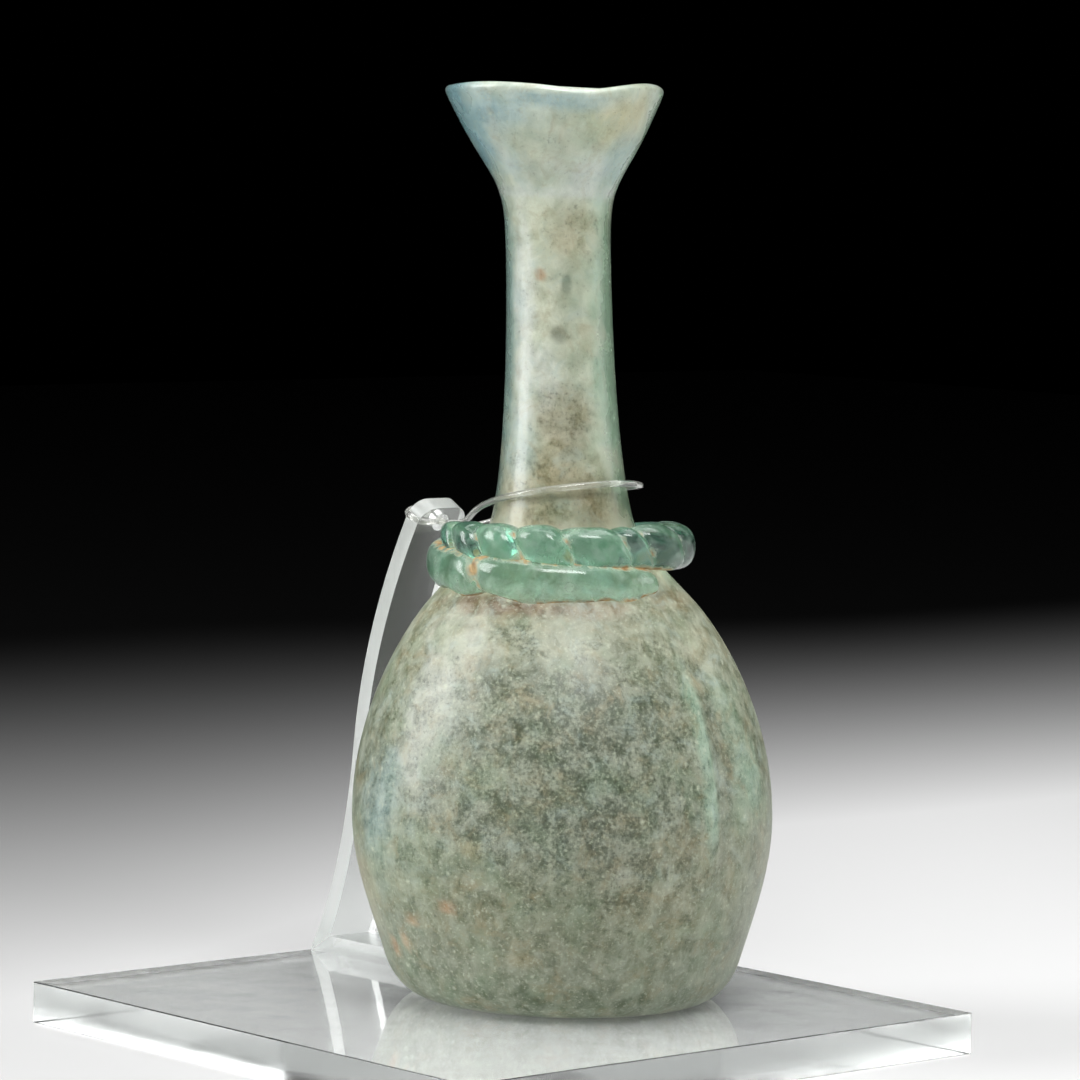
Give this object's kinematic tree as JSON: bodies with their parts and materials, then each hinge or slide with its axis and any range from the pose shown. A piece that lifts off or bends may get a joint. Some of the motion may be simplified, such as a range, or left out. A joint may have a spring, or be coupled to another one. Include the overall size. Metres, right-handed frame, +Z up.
{
  "type": "glass perfume flask on a display stand",
  "caption": "Ancient blown glass perfume flask with a squat body, tall neck, funnel mouth and crimped glass collar, standing on a clear acrylic plate with a bent steadying strip.",
  "frame": {"origin": "middle of the stand plate's underside", "axes": "+Z up, towards the mouth; +X away from the steadying strip; +Y along the strip's width"},
  "size_m": [0.1016, 0.1016, 0.146],
  "materials": {
    "weathered_glass": "weathered, frosted and mottled, slightly translucent",
    "trail_glass": "glossy, with earth left in the hollows",
    "acrylic_plate": "clear, polished",
    "acrylic_strip": "clear, polished",
    "clear_line": "clear, smooth"
  },
  "bodies": {
    "root": {"stand_base": "acrylic_plate", "stand_upright": "acrylic_strip", "neck_tie": "clear_line", "flask": "weathered_glass", "collar_trail": "trail_glass"}
  },
  "joints": []
}
